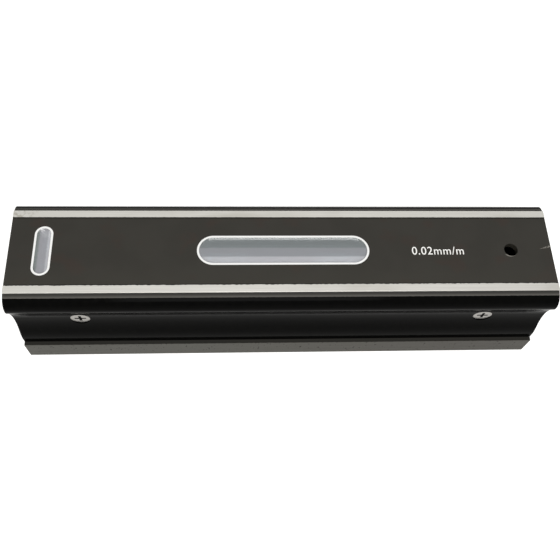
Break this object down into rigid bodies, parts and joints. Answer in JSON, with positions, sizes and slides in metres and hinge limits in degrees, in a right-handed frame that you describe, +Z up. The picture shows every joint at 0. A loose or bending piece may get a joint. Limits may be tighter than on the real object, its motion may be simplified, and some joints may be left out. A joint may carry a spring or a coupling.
{
  "type": "precision machinist level",
  "caption": "Bar level with a waisted cast body, vee-grooved ground base, ground top strips, a dark cover with a long main window and a short cross window, and an adjusting screw under a hole.",
  "frame": {"origin": "middle of the ground base, on the surface it stands on", "axes": "X along the bar from the cross window to the adjusting screw, Y across the bar, Z up"},
  "size_m": [0.2, 0.0468, 0.045],
  "materials": {
    "casting_paint": "gloss black enamel on cast iron; top strips, foot, base and groove ground bare",
    "cover_paint": "dark grey-brown satin, slightly textured",
    "bezel_bright": "bright polished rim",
    "clear_glass": "clear polished glass",
    "vial_glass": "clear glass tube, ground inside",
    "plug_white": "white setting cement over a glass plug",
    "spirit": "clear spirit",
    "bubble": "gas bubble",
    "carrier_paint": "pale grey paint that backs the vials",
    "zinc_steel": "zinc plated steel",
    "spring_steel": "spring steel, oiled",
    "screw_brass": "turned brass",
    "seal_red": "drop of red sealing lacquer"
  },
  "bodies": {
    "level_body": {"body_casting": "casting_paint", "cover_plate": "cover_paint", "main_window_bezel": "bezel_bright", "main_window_pane": "clear_glass", "cross_window_bezel": "bezel_bright", "cross_window_pane": "clear_glass", "side_screw_near_left": "zinc_steel", "side_screw_far_left": "zinc_steel", "side_screw_near_right": "zinc_steel", "side_screw_far_right": "zinc_steel", "cross_vial_tube": "vial_glass", "cross_vial_plug_near": "plug_white", "cross_vial_plug_far": "plug_white", "cross_spirit": "spirit", "pivot_bracket": "zinc_steel", "pivot_pin": "zinc_steel", "adjust_spring": "spring_steel", "cross_vial_holder": "carrier_paint", "holder_near_screw": "zinc_steel", "holder_far_screw": "zinc_steel", "bracket_screw": "zinc_steel"},
    "carrier": {"vial_carrier": "carrier_paint", "main_vial_tube": "vial_glass", "main_vial_plug_left": "plug_white", "main_vial_plug_right": "plug_white", "main_spirit": "spirit", "vial_clip_left": "spring_steel", "vial_clip_right": "spring_steel"},
    "adjuster": {"adjust_screw": "screw_brass", "seal_lacquer": "seal_red"},
    "main_bubble": {"main_bubble": "bubble"},
    "cross_bubble": {"cross_bubble": "bubble"}
  },
  "joints": [
    {"name": "adjust_turn", "type": "hinge", "parent": "level_body", "child": "adjuster", "pos_m": [0.0845, 0, 0.0303], "axis": [0, 0, 1], "range_deg": [-180, 180]},
    {"name": "carrier_tilt", "type": "hinge", "parent": "level_body", "child": "carrier", "pos_m": [-0.059, 0, 0.027], "axis": [0, 1, 0], "range_deg": [-0.0998, 0.0998], "deforming": ["adjust_spring"]},
    {"name": "main_bubble_slide", "type": "slide", "parent": "carrier", "child": "main_bubble", "axis": [1, 0, 0], "range_m": [-0.025, 0.025]},
    {"name": "cross_bubble_slide", "type": "slide", "parent": "level_body", "child": "cross_bubble", "axis": [0, 1, 0], "range_m": [-0.005, 0.005]}
  ],
  "couplings": [
    {"joint": "adjust_turn", "follows": "carrier_tilt", "ratio": -1803.3}
  ]
}
